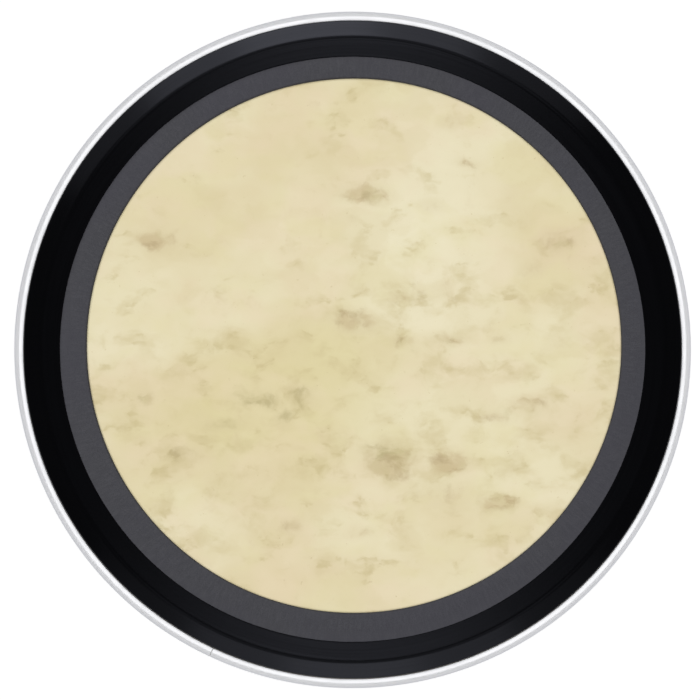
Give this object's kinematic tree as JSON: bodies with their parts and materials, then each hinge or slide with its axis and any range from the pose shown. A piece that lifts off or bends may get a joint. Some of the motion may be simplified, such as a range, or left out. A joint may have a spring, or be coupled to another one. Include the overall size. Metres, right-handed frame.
{
  "type": "drum head",
  "caption": "Bass drum head: a metal hoop, a mottled parchment-look film, and a black flange whose lip holds a removable grey foam damping ring.",
  "frame": {"origin": "centre of the hoop's underside", "axes": "+Z out of the playing face along the head's axis, +Y towards the top of the picture"},
  "size_m": [0.58, 0.58, 0.0277],
  "materials": {
    "hoop_aluminium": "satin anodised",
    "splice_aluminium": "mill finish",
    "resin": "cast",
    "mottled_film": "satin film with a mottled parchment print",
    "black_plastic": "formed, glossy",
    "grey_foam": "open-cell foam"
  },
  "bodies": {
    "head": {"hoop_channel": "hoop_aluminium", "hoop_splice": "splice_aluminium", "resin_fill": "resin", "drum_film": "mottled_film", "damper_flange": "black_plastic"},
    "foam_ring": {"foam_damper_ring": "grey_foam"}
  },
  "joints": [
    {"name": "foam_lift_out", "type": "slide", "parent": "head", "child": "foam_ring", "axis": [0, 0, 1], "range_m": [0, 0.05], "deforming": ["foam_damper_ring"]}
  ]
}
